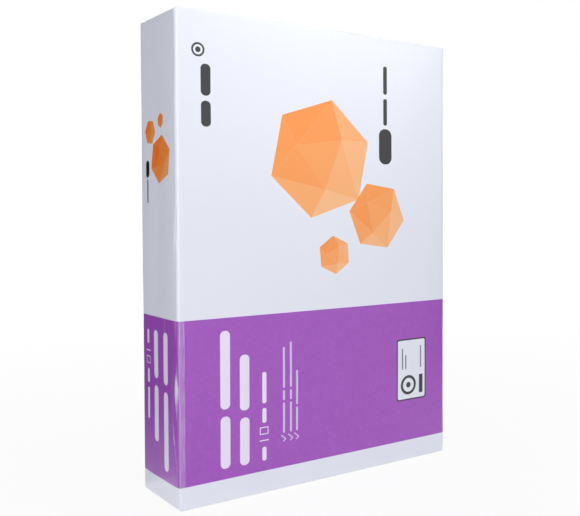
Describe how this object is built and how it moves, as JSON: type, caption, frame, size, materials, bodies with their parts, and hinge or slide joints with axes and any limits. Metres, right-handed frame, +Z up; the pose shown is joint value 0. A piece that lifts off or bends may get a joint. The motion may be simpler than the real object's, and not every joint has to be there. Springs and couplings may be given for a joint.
{
  "type": "ream of paper",
  "caption": "Sealed ream of copy paper in a printed paper wrapper with a broad purple band, standing on one short end.",
  "frame": {"origin": "under the middle of the ream, at the level that it stands on", "axes": "+Z up along the sheets' long side, +X along their short side to the right, -Y out of the printed front"},
  "size_m": [0.2108, 0.0564, 0.2998],
  "materials": {
    "wrapper": "gloss-laminated white wrapper paper, printed with a purple band and orange shapes"
  },
  "bodies": {
    "root": {"wrapped_ream": "wrapper"}
  },
  "joints": []
}
